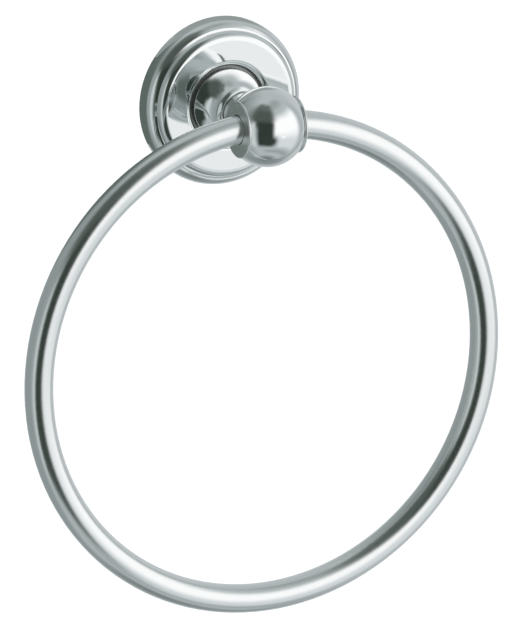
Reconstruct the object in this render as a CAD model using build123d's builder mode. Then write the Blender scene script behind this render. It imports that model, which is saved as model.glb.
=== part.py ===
"""Towel ring: a round rose, a turned post with a ball head, and a ring that swings in the head's bore."""
import math
import os

from build123d import *

os.makedirs("parts", exist_ok=True)

# All sizes are in millimetres. The wall is the plane y = 0, the front faces -Y and +Z is up.
# Heights off the wall are measured along -Y, so a turned profile is drawn as (radius, -height) and spun about Y.

# Ring, straight inside the head and bent to the circle where it leaves it
ring_mean_d = 170.0
rod_d = 10.0
bend_r = 10.0
bend_inset = 0.9

# Ball head at the front of the post, with a flat-ended collar on each side
head_d = 28.0
head_off_wall = 41.0
collar_d = 20.0
collar_out = 1.4
collar_width = 0.9
collar_edge = 0.4
bore_gap = 0.15
bore_edge = 0.1

# Flared foot and neck of the post
foot_d = 25.7
foot_off_wall = 8.9
foot_sweep = 11.0
foot_edge = 0.3
neck_d = 11.5
neck_fillet = 1.4

# Rose, with a round recess for the foot
rose_d = 59.7
rose_straight = 1.8
rim_round = 6.0
rim_turn = 57.0
groove_drop = 0.25
tread_width = 0.9
tread_rise = 0.35
slope_width = 1.35
slope_rise = 2.5
plate_edge = 3.0
plate_wall = 2.6
rose_wall = 4.3
rose_inner_round = 3.0
recess_gap = 1.0
recess_lip = 2.4
recess_wall = 2.4
floor_wall = 2.8
floor_gap = 0.4

# Backplate
back_gap = 0.2
back_thick = 3.5
back_edge = 0.3
wall_hole_d = 5.0
wall_hole_sink_d = 9.6
wall_hole_inset = 7.85

# Screws
thread_gap = 0.05
post_screw_d = 5.0
post_screw_head_d = 9.2
post_screw_head_h = 2.1
post_screw_sink = 0.2
post_screw_len = 12.0
post_screw_key = 3.0
grub_d = 3.0
grub_len = 3.0
grub_key = 1.5
grub_off_wall = 2.2

# Sizes that follow
rod_r = rod_d / 2
ring_r = ring_mean_d / 2
head_r = head_d / 2
collar_r = collar_d / 2
foot_r = foot_d / 2
neck_r = neck_d / 2
rose_r = rose_d / 2
collar_x = math.sqrt(head_r**2 - collar_r**2) + collar_out
collar_mid = collar_x - collar_width / 2
# The rod's centre line: straight on the bore's axis, a short bend, then the circle, each tangent to the next.
bend_x = collar_x - bend_inset
bend_to_centre = math.sqrt((ring_r - bend_r)**2 - bend_x**2)
ring_centre_z = -bend_r - bend_to_centre
bend_turn = math.atan2(bend_x, bend_to_centre)
# The bore clears the rod where the bend passes the collar's face.
bore_r = bend_r - math.sqrt((bend_r - rod_r)**2 - bend_inset**2) + bore_gap
recess_r = foot_r + recess_gap
cup_r = recess_r + recess_wall
floor_back = back_thick + floor_gap
post_back = floor_back + floor_wall
rose_bore_r = rose_r - rose_wall
rim_end_r = rose_r - rim_round * (1 - math.cos(math.radians(rim_turn)))
rim_end = rose_straight + rim_round * math.sin(math.radians(rim_turn))
tread_r = rim_end_r - tread_width
tread_top = rim_end - groove_drop + tread_rise
plate_r = tread_r - slope_width
plate_top = tread_top + slope_rise
ceiling = plate_top - plate_wall
back_r = rose_bore_r - back_gap
wall_hole_x = back_r - wall_hole_inset
post_hole_r = post_screw_d / 2 + thread_gap
post_sink_r = post_screw_head_d / 2 + thread_gap
post_screw_back = floor_back + post_screw_sink
post_screw_neck = post_screw_back + post_screw_head_h
post_screw_tip = post_screw_back + post_screw_len
post_hole_end = post_screw_tip + 1.0
grub_hole_r = grub_d / 2 + thread_gap


def on_ball(radius, ball_radius):
    return math.sqrt(ball_radius**2 - radius**2)


# Ring: one rod bent to a circle, closed inside the head
turn_deg = math.degrees(bend_turn)
ring_plane = Plane(origin=(0, -head_off_wall, 0), x_dir=(1, 0, 0), z_dir=(0, -1, 0))
with BuildPart() as ring:
    with BuildLine(ring_plane) as centre_line:
        Line((-bend_x, 0), (bend_x, 0))
        CenterArc((bend_x, -bend_r), bend_r, 90, -turn_deg)
        CenterArc((0, ring_centre_z), ring_r, 90 - turn_deg, -360 + 2 * turn_deg)
        CenterArc((-bend_x, -bend_r), bend_r, 90 + turn_deg, -turn_deg)
    with BuildSketch(Plane.YZ) as rod_section:
        with Locations((-head_off_wall, 0)):
            Circle(rod_r)
    sweep(path=centre_line.wires()[0])
ring.part.label = "ring"
export_step(ring.part, "parts/ring.step")

# Post: flared foot, neck and ball head turned in one piece, with a collar each side and a cross bore
sweep_x = neck_r + foot_sweep
neck_start = foot_off_wall + on_ball(sweep_x - foot_r, foot_sweep)
neck_end = head_off_wall - on_ball(neck_r, head_r)
with BuildPart() as post:
    with BuildSketch(Plane.XY) as post_profile:
        with BuildLine():
            Line((0, -post_back), (foot_r, -post_back))
            Line((foot_r, -post_back), (foot_r, -foot_off_wall))
            ThreePointArc(
                (foot_r, -foot_off_wall),
                (sweep_x - foot_sweep * math.cos(0.6), -neck_start + foot_sweep * math.sin(0.6)),
                (neck_r, -neck_start),
            )
            Line((neck_r, -neck_start), (neck_r, -neck_end))
            ThreePointArc(
                (neck_r, -neck_end),
                (head_r, -head_off_wall),
                (0, -head_off_wall - head_r),
            )
            Line((0, -head_off_wall - head_r), (0, -post_back))
        make_face()
        neck_corner = post_profile.vertices().filter_by_position(Axis.Y, -neck_end - 0.01, -neck_end + 0.01)
        fillet(neck_corner, neck_fillet)
        foot_corner = post_profile.vertices().filter_by_position(
            Axis.Y, -foot_off_wall - 0.01, -foot_off_wall + 0.01
        )
        fillet(foot_corner, foot_edge)
    revolve(axis=Axis.Y)
    for side in (-1, 1):
        with BuildSketch(Plane.YZ.offset(side * collar_mid)) as ball_end:
            with Locations((-head_off_wall, 0)):
                Circle(head_r)
        extrude(amount=side * head_r, mode=Mode.SUBTRACT)
    with BuildSketch(Plane.XY) as collar_profile:
        with Locations((-collar_mid, collar_r / 2 - head_off_wall), (collar_mid, collar_r / 2 - head_off_wall)):
            Rectangle(collar_width, collar_r)
        fillet(collar_profile.vertices().group_by(Axis.Y)[-1], collar_edge)
    revolve(axis=Axis((0, -head_off_wall, 0), (1, 0, 0)))
    with BuildSketch(Plane.YZ) as bore:
        with Locations((-head_off_wall, 0)):
            Circle(bore_r)
    extrude(amount=head_r, both=True, mode=Mode.SUBTRACT)
    bore_edges = post.edges().filter_by(GeomType.CIRCLE).filter_by(
        lambda e: abs(e.radius - bore_r) < 0.01 and abs(abs(e.arc_center.X) - collar_x) < 0.01
    )
    chamfer(bore_edges, bore_edge)
    with BuildSketch(Plane.XZ.offset(post_back)) as post_hole:
        Circle(post_hole_r)
    extrude(amount=post_hole_end - post_back, mode=Mode.SUBTRACT)
post.part.label = "post"
export_step(post.part, "parts/post.step")

# Rose: stepped round cover, with a floor under the foot and a countersunk hole in it for the post screw
hollow_r = rose_bore_r - rose_inner_round
with BuildPart() as rose:
    with BuildSketch(Plane.XY) as rose_profile:
        with BuildLine():
            Line((rose_bore_r, 0), (rose_r, 0))
            Line((rose_r, 0), (rose_r, -rose_straight))
            JernArc((rose_r, -rose_straight), (0, -1), rim_round, -rim_turn)
            Polyline(
                (rim_end_r, -rim_end),
                (rim_end_r, -rim_end + groove_drop),
                (tread_r, -tread_top),
                (plate_r, -plate_top),
                (recess_r, -plate_top),
                (recess_r, -post_back),
                (post_hole_r, -post_back),
                (post_hole_r, -post_screw_neck),
                (post_sink_r, -post_screw_back),
                (post_sink_r, -floor_back),
                (cup_r, -floor_back),
                (cup_r, -ceiling),
                (hollow_r, -ceiling),
            )
            JernArc((hollow_r, -ceiling), (1, 0), rose_inner_round, 90)
            Line((rose_bore_r, -ceiling + rose_inner_round), (rose_bore_r, 0))
        make_face()
    revolve(axis=Axis.Y)
    front_edges = rose.edges().filter_by(GeomType.CIRCLE).filter_by(
        lambda e: abs(e.arc_center.Y + plate_top) < 0.01
    )
    fillet(front_edges.filter_by(lambda e: e.radius < recess_r + 0.01), recess_lip)
    fillet(front_edges.filter_by(lambda e: e.radius > plate_r - 0.01), plate_edge)
    with BuildSketch(Plane.XY.offset(-rose_bore_r + 1)) as grub_hole:
        with Locations((0, -grub_off_wall)):
            Circle(grub_hole_r)
    extrude(amount=-(rose_r - rose_bore_r + 3), mode=Mode.SUBTRACT)
rose.part.label = "rose"
export_step(rose.part, "parts/rose.step")

# Backplate: disc with two countersunk wall screw holes
with BuildPart() as backplate:
    with BuildSketch(Plane.XZ) as disc:
        Circle(back_r)
    extrude(amount=back_thick)
    with Locations(Plane.XZ.offset(back_thick)):
        with Locations((-wall_hole_x, 0), (wall_hole_x, 0)):
            CounterSinkHole(wall_hole_d / 2, wall_hole_sink_d / 2, depth=back_thick, counter_sink_angle=90)
    rim_edge = backplate.edges().filter_by(GeomType.CIRCLE).filter_by(
        lambda e: abs(e.radius - back_r) < 0.01 and abs(e.arc_center.Y + back_thick) < 0.01
    )
    chamfer(rim_edge, back_edge)
backplate.part.label = "backplate"
export_step(backplate.part, "parts/backplate.step")

# Post screw: countersunk, driven from behind through the rose's floor into the post
with BuildPart() as post_screw:
    with BuildSketch(Plane.XY) as post_screw_profile:
        with BuildLine():
            Polyline(
                (0, -post_screw_back),
                (post_screw_head_d / 2, -post_screw_back),
                (post_screw_d / 2, -post_screw_neck),
                (post_screw_d / 2, -post_screw_tip + 0.6),
                (post_screw_d / 2 - 0.6, -post_screw_tip),
                (0, -post_screw_tip),
                close=True,
            )
        make_face()
    revolve(axis=Axis.Y)
    with BuildSketch(Plane.XZ.offset(post_screw_back)) as post_screw_socket:
        RegularPolygon(post_screw_key / 2, 6, major_radius=False)
    extrude(amount=1.8, mode=Mode.SUBTRACT)
post_screw.part.label = "post_screw"
export_step(post_screw.part, "parts/post_screw.step")

# Grub screw: through the bottom of the rose against the backplate's edge
with BuildPart() as grub_screw:
    with BuildSketch(Plane.XY.offset(-back_r)) as grub_tip:
        with Locations((0, -grub_off_wall)):
            Circle(grub_d / 2 - 0.5)
    with BuildSketch(Plane.XY.offset(-back_r - 0.5)) as grub_start:
        with Locations((0, -grub_off_wall)):
            Circle(grub_d / 2)
    loft()
    with BuildSketch(Plane.XY.offset(-back_r - 0.5)) as grub_body:
        with Locations((0, -grub_off_wall)):
            Circle(grub_d / 2)
    extrude(amount=-(grub_len - 0.5))
    with BuildSketch(Plane.XY.offset(-back_r - grub_len)) as grub_socket:
        with Locations((0, -grub_off_wall)):
            RegularPolygon(grub_key / 2, 6, major_radius=False)
    extrude(amount=1.4, mode=Mode.SUBTRACT)
grub_screw.part.label = "grub_screw"
export_step(grub_screw.part, "parts/grub_screw.step")
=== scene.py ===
import math

import bpy
from mathutils import Matrix, Vector

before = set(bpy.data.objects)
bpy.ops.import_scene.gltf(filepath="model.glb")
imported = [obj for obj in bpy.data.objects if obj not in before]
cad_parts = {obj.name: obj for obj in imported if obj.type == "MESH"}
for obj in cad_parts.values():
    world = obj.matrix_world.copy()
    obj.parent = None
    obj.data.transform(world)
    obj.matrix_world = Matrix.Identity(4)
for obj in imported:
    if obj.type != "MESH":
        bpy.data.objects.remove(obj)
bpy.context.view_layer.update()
scene = bpy.context.scene
MM = 0.001


def to_linear(tone):
    """An 8-bit display tone as linear light."""
    v = tone / 255
    return v / 12.92 if v <= 0.04045 else ((v + 0.055) / 1.055) ** 2.4


def linear_rgb(red, green, blue):
    """An 8-bit display colour as linear light, opaque."""
    return (to_linear(red), to_linear(green), to_linear(blue), 1.0)


class Graph:
    """Short ways to add and join shader nodes in one tree."""

    def __init__(self, tree):
        self.tree = tree
        tree.nodes.clear()

    def add(self, kind, **settings):
        node = self.tree.nodes.new(kind)
        for key, value in settings.items():
            setattr(node, key, value)
        return node

    def put(self, socket, value):
        if isinstance(value, bpy.types.NodeSocket):
            self.tree.links.new(value, socket)
        else:
            socket.default_value = value

    def math(self, operation, a, b=None, c=None):
        node = self.add("ShaderNodeMath", operation=operation)
        for index, value in enumerate((a, b, c)):
            if value is not None:
                self.put(node.inputs[index], value)
        return node.outputs[0]

    def ramp(self, value, low, high, to_low=0.0, to_high=1.0):
        """A smooth step from to_low to to_high as the value goes from low to high."""
        node = self.add("ShaderNodeMapRange", interpolation_type="SMOOTHSTEP")
        for name, v in (
            ("Value", value),
            ("From Min", low),
            ("From Max", high),
            ("To Min", to_low),
            ("To Max", to_high),
        ):
            self.put(node.inputs[name], v)
        return node.outputs[0]

    def mix(self, factor, a, b):
        """Two colours mixed."""
        node = self.add("ShaderNodeMix", data_type="RGBA")
        self.put(node.inputs[0], factor)
        self.put(node.inputs[6], a)
        self.put(node.inputs[7], b)
        return node.outputs[2]

    def blend(self, factor, a, b):
        """Two numbers mixed."""
        node = self.add("ShaderNodeMix", data_type="FLOAT")
        self.put(node.inputs[0], factor)
        self.put(node.inputs[2], a)
        self.put(node.inputs[3], b)
        return node.outputs[0]

    def noise(self, vector, scale, detail=3.0, roughness=0.5):
        node = self.add("ShaderNodeTexNoise")
        self.put(node.inputs["Vector"], vector)
        node.inputs["Scale"].default_value = scale
        node.inputs["Detail"].default_value = detail
        node.inputs["Roughness"].default_value = roughness
        return node.outputs["Fac"]

    def bump(self, height, strength, distance):
        node = self.add("ShaderNodeBump")
        node.inputs["Strength"].default_value = strength
        node.inputs["Distance"].default_value = distance
        self.put(node.inputs["Height"], height)
        return node.outputs["Normal"]

    def place(self):
        """Object coordinates, which are the CAD frame in metres."""
        return self.add("ShaderNodeTexCoord").outputs["Object"]

    def split(self, vector):
        """The x, y and z of a vector."""
        node = self.add("ShaderNodeSeparateXYZ")
        self.put(node.inputs[0], vector)
        return node.outputs


def new_material(name):
    """A new material and its empty graph."""
    material = bpy.data.materials.new(name)
    material.use_nodes = True
    return material, Graph(material.node_tree)


def surface(name, metallic):
    """A new material with a principled shader, and its graph, shader and object coordinates."""
    material, g = new_material(name)
    shader = g.add("ShaderNodeBsdfPrincipled")
    out = g.add("ShaderNodeOutputMaterial")
    g.put(out.inputs["Surface"], shader.outputs[0])
    shader.inputs["Metallic"].default_value = metallic
    return material, g, shader, g.place()


# Chrome: pairs of tints or of roughnesses between which fine noise runs
CHROME_TINTS = (0.885, 0.905, 0.905, 1), (0.915, 0.925, 0.925, 1)
POLISHED = 0.025, 0.05
SOFT_POLISH = 0.20, 0.24
WAVE_STRENGTH, WAVE_HEIGHT = 0.02, 0.4 * MM
SATIN_TINTS = (0.88, 0.90, 0.895, 1), (0.95, 0.965, 0.96, 1)
SATIN = 0.36, 0.42
SATIN_OUT = 10.6 * MM
SATIN_EDGE = 0.1 * MM
SATIN_OFF_WALL = 20.0 * MM, 24.0 * MM
# Recess around the post's foot: the dark tints are painted shade for the shadow in the gap, and
# the roughness is real
RECESS_SHADE_TINTS = (0.42, 0.44, 0.43, 1), (0.52, 0.54, 0.53, 1)
DULL = 0.5
SHADED_RECESS_RADIUS = 16.0 * MM
SHADED_RECESS_EDGE = 0.1 * MM, 0.2 * MM
ROSE_SHADED_RECESS_HEIGHT = 8.5 * MM
POST_SHADED_RECESS_HEIGHT = 8.6 * MM


def make_chrome(name, finish, satin_out=None, shaded_recess_height=None):
    """Chrome plate; collars beyond satin_out are satin, and the recess below the given height is
    rougher and darkened with painted shade.
    """
    material, g, shader, place = surface(name, 1.0)
    drift = g.noise(place, 60.0, 2.0)
    haze = g.noise(place, 900.0, 4.0, 0.6)
    tint = g.mix(drift, *CHROME_TINTS)
    roughness = g.ramp(haze, 0.3, 0.75, *finish)
    waves = g.noise(place, 140.0, 1.0)
    x, y, z = g.split(place)
    if satin_out:
        outer = g.ramp(g.math("ABSOLUTE", x), satin_out - SATIN_EDGE, satin_out)
        on_head = g.ramp(y, *(-off_wall for off_wall in SATIN_OFF_WALL))
        mask = g.math("MULTIPLY", outer, on_head)
        grain = g.noise(place, 4200.0, 3.0, 0.6)
        tint = g.mix(mask, tint, g.mix(grain, *SATIN_TINTS))
        roughness = g.blend(mask, roughness, g.ramp(grain, 0.3, 0.7, *SATIN))
    # Painted shade: the recess around the post's foot is darkened and also made rougher
    if shaded_recess_height:
        square = [g.math("MULTIPLY", axis, axis) for axis in (x, z)]
        across = g.math("SQRT", g.math("ADD", *square))
        deep = g.ramp(y, -shaded_recess_height - SHADED_RECESS_EDGE[0], -shaded_recess_height + SHADED_RECESS_EDGE[1])
        mask = g.math("MULTIPLY", deep, g.math("LESS_THAN", across, SHADED_RECESS_RADIUS))
        recess_shade_noise = g.noise(place, 1500.0, 3.0, 0.6)
        tint = g.mix(mask, tint, g.mix(recess_shade_noise, *RECESS_SHADE_TINTS))
        roughness = g.blend(mask, roughness, DULL)
    g.put(shader.inputs["Base Color"], tint)
    g.put(shader.inputs["Roughness"], roughness)
    g.put(shader.inputs["Normal"], g.bump(waves, WAVE_STRENGTH, WAVE_HEIGHT))
    return material


def make_zinc():
    """Zinc plate with a fine spangle."""
    material, g, shader, place = surface("zinc", 1.0)
    spangle = g.add("ShaderNodeTexVoronoi")
    g.put(spangle.inputs["Vector"], place)
    spangle.inputs["Scale"].default_value = 420.0
    grain = g.noise(place, 2600.0, 4.0, 0.65)
    tone = g.mix(spangle.outputs["Color"], (0.50, 0.51, 0.51, 1), (0.64, 0.65, 0.66, 1))
    g.put(shader.inputs["Base Color"], tone)
    g.put(shader.inputs["Roughness"], g.ramp(grain, 0.3, 0.7, 0.34, 0.5))
    g.put(shader.inputs["Normal"], g.bump(grain, 0.2, 0.1 * MM))
    return material


def make_steel():
    """Plain turned steel, a little blotched."""
    material, g, shader, place = surface("screw_steel", 1.0)
    grain = g.noise(place, 3200.0, 4.0, 0.6)
    blot = g.noise(place, 500.0, 2.0)
    tone = g.mix(blot, (0.36, 0.36, 0.37, 1), (0.50, 0.50, 0.50, 1))
    g.put(shader.inputs["Base Color"], tone)
    g.put(shader.inputs["Roughness"], g.ramp(grain, 0.3, 0.7, 0.26, 0.42))
    g.put(shader.inputs["Normal"], g.bump(grain, 0.15, 0.08 * MM))
    return material


steel = make_steel()
finish_of = {
    "ring": make_chrome("chrome_ring", SOFT_POLISH),
    "post": make_chrome("chrome_post", POLISHED, SATIN_OUT, POST_SHADED_RECESS_HEIGHT),
    "rose": make_chrome("chrome_rose", POLISHED, shaded_recess_height=ROSE_SHADED_RECESS_HEIGHT),
    "backplate": make_zinc(),
    "post_screw": steel,
    "grub_screw": steel,
}
for name, material in finish_of.items():
    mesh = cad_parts[name].data
    mesh.materials.clear()
    mesh.materials.append(material)

# Studio light: a soft tent drawn on the sky by direction, in degrees.
# Azimuth 0 is straight in front of the wall, and + is to the right.
TENT = (182, 189, 190)
PATCHES = (
    # name, azimuth, half width, soft edge, lowest, highest, soft edge, tone, strength
    ("left_wall", -128, 50, 25, -70, 60, 20, (146, 154, 154), 1.0),
    ("right_wall", 120, 55, 25, -45, 35, 20, (198, 203, 205), 1.0),
    ("right_gap", 92, 8, 8, -65, 50, 15, (178, 184, 185), 1.0),
    ("top_right", 45, 50, 25, 62, 84, 8, (158, 165, 165), 1.0),
    ("under_back", 165, 70, 25, -100, -55, 12, (138, 146, 147), 1.0),
    ("nadir", 0, 220, 20, -110, -77, 8, (122, 129, 129), 1.0),
    ("low_line", 25, 60, 20, -63, -53, 5, (158, 166, 167), 1.0),
    ("softbox_low", 44, 34, 12, -45, -8, 6, (219, 224, 226), 1.0),
    ("softbox", 35, 41, 9, -14, 39, 14, (255, 255, 255), 1.08),
    ("dark_top", -45, 46, 20, 28, 79, 8, (101, 110, 106), 1.0),
    ("dark_mid", -40, 34, 14, 10, 60, 10, (80, 89, 84), 1.0),
    ("dark_front", -28.7, 24.1, 8, -43, 27, 8, (52, 61, 55), 1.0),
    ("dark_foot", -12.5, 17.5, 9, -39, -17, 10, (54, 63, 57), 1.0),
    ("side_strip", -66, 6.5, 6, -42, 22, 8, (206, 213, 212), 1.0),
)
WHITE = (1.0, 1.0, 1.0, 1.0)


def make_world():
    """The tent with its patches, later over earlier; the camera itself sees plain white."""
    world = bpy.data.worlds.new("studio")
    scene.world = world
    world.use_nodes = True
    g = Graph(world.node_tree)
    x, y, z = g.split(g.add("ShaderNodeTexCoord").outputs["Generated"])
    azimuth = g.math("ARCTAN2", x, g.math("MULTIPLY", y, -1.0))
    height = g.math("ARCSINE", z)
    light = linear_rgb(*TENT)
    rad = math.radians
    for _, centre, half, soft, low, high, soft_h, tone, strength in PATCHES:
        turn = g.math("SUBTRACT", azimuth, rad(centre))
        away = g.math("ABSOLUTE", g.math("WRAP", turn, math.pi, -math.pi))
        across = g.ramp(away, rad(half + soft), rad(half - soft))
        above = g.ramp(height, rad(low - soft_h), rad(low + soft_h))
        below = g.ramp(height, rad(high + soft_h), rad(high - soft_h))
        mask = g.math("MULTIPLY", across, g.math("MULTIPLY", above, below))
        colour = [channel * strength for channel in linear_rgb(*tone)[:3]]
        light = g.mix(mask, light, (*colour, 1.0))
    seen = g.add("ShaderNodeLightPath").outputs["Is Camera Ray"]
    background = g.add("ShaderNodeBackground")
    g.put(background.inputs["Color"], g.mix(seen, light, WHITE))
    out = g.add("ShaderNodeOutputWorld")
    g.put(out.inputs["Surface"], background.outputs[0])


def make_stage_piece(name, corners, material):
    """One four-cornered face with a material, linked into the scene."""
    mesh = bpy.data.meshes.new(name)
    mesh.from_pydata(corners, [], [(0, 1, 2, 3)])
    mesh.materials.append(material)
    piece = bpy.data.objects.new(name, mesh)
    scene.collection.objects.link(piece)
    return piece


FLOOR_HALF, FLOOR_Z = 40.0, -0.45
FLOOR_GLOW = 0.7


def make_floor():
    """A plain pale floor."""
    material, g, shader, place = surface("pale_floor", 0.0)
    cloud = g.noise(place, 3.0, 2.0)
    g.put(shader.inputs["Base Color"], g.mix(cloud, (0.90, 0.90, 0.90, 1), (0.93, 0.93, 0.93, 1)))
    shader.inputs["Roughness"].default_value = 0.8
    shader.inputs["Emission Color"].default_value = WHITE
    shader.inputs["Emission Strength"].default_value = FLOOR_GLOW
    turns = ((-1, -1), (1, -1), (1, 1), (-1, 1))
    corners = [(i * FLOOR_HALF, k * FLOOR_HALF, FLOOR_Z) for i, k in turns]
    floor = make_stage_piece("floor", corners, material)
    floor.visible_glossy = False


CARD_Y = 6


def make_painted_wall_card(name, across, upward, tone, fade_x, fade_z):
    """A glowing grey card behind the rose, in mm, seen only in reflections, that paints a shaded
    wall into the chrome; fades run clear to full.
    """
    material, g = new_material(name)
    x, _, z = g.split(g.place())
    near = g.ramp(g.math("ABSOLUTE", x), fade_x[0] * MM, fade_x[1] * MM)
    tall = g.ramp(g.math("ABSOLUTE", z), fade_z[0] * MM, fade_z[1] * MM)
    light = g.add("ShaderNodeEmission")
    g.put(light.inputs["Color"], linear_rgb(*tone))
    clear = g.add("ShaderNodeBsdfTransparent")
    blend = g.add("ShaderNodeMixShader")
    g.put(blend.inputs[0], g.math("MULTIPLY", near, tall))
    g.put(blend.inputs[1], clear.outputs[0])
    g.put(blend.inputs[2], light.outputs[0])
    out = g.add("ShaderNodeOutputMaterial")
    g.put(out.inputs["Surface"], blend.outputs[0])
    turns = ((0, 0), (1, 0), (1, 1), (0, 1))
    corners = [(across[i] * MM, CARD_Y * MM, upward[k] * MM) for i, k in turns]
    card = make_stage_piece(name, corners, material)
    card.visible_camera = card.visible_diffuse = card.visible_shadow = False


# Camera: the photograph's viewing angle, from far off
CAMERA_AZIMUTH, CAMERA_HEIGHT, CAMERA_ROLL = -24.99, 15.29, 0.95
CAMERA_DISTANCE = 5.0
CAMERA_TARGET = Vector((-0.02, -40.0, -65.84)) * MM
FOCAL_PX, LONG_SIDE_PX = 14427.0, 620
SENSOR_MM = 36.0


def make_camera():
    azimuth, height, roll = map(math.radians, (CAMERA_AZIMUTH, CAMERA_HEIGHT, CAMERA_ROLL))
    level = math.cos(height)
    back = Vector((math.sin(azimuth) * level, -math.cos(azimuth) * level, math.sin(height)))
    right = Vector((math.cos(azimuth), math.sin(azimuth), 0.0))
    up = back.cross(right)
    right, up = (
        right * math.cos(roll) + up * math.sin(roll),
        up * math.cos(roll) - right * math.sin(roll),
    )
    data = bpy.data.cameras.new("camera")
    data.sensor_width = SENSOR_MM
    data.lens = FOCAL_PX * SENSOR_MM / LONG_SIDE_PX
    data.clip_start, data.clip_end = 0.05, 200.0
    camera = bpy.data.objects.new("camera", data)
    turn = Matrix((right, up, back)).transposed().to_4x4()
    camera.matrix_world = Matrix.Translation(CAMERA_TARGET + back * CAMERA_DISTANCE) @ turn
    scene.collection.objects.link(camera)
    scene.camera = camera


make_world()
make_floor()
# Painted shade and reflection: the left card stands in for the rose's shadow on a wall, and the
# top card for a dimmer wall above the rose
make_painted_wall_card("left_wall_shadow_card", (-110, -27), (-75, 75), (96, 107, 102), (110, 75), (75, 15))
make_painted_wall_card("top_wall_reflection_card", (-27, 45), (28, 62), (150, 158, 156), (45, 20), (62, 42))
make_camera()

scene.view_settings.view_transform = "Standard"
scene.view_settings.look = "None"

bpy.context.view_layer.update()
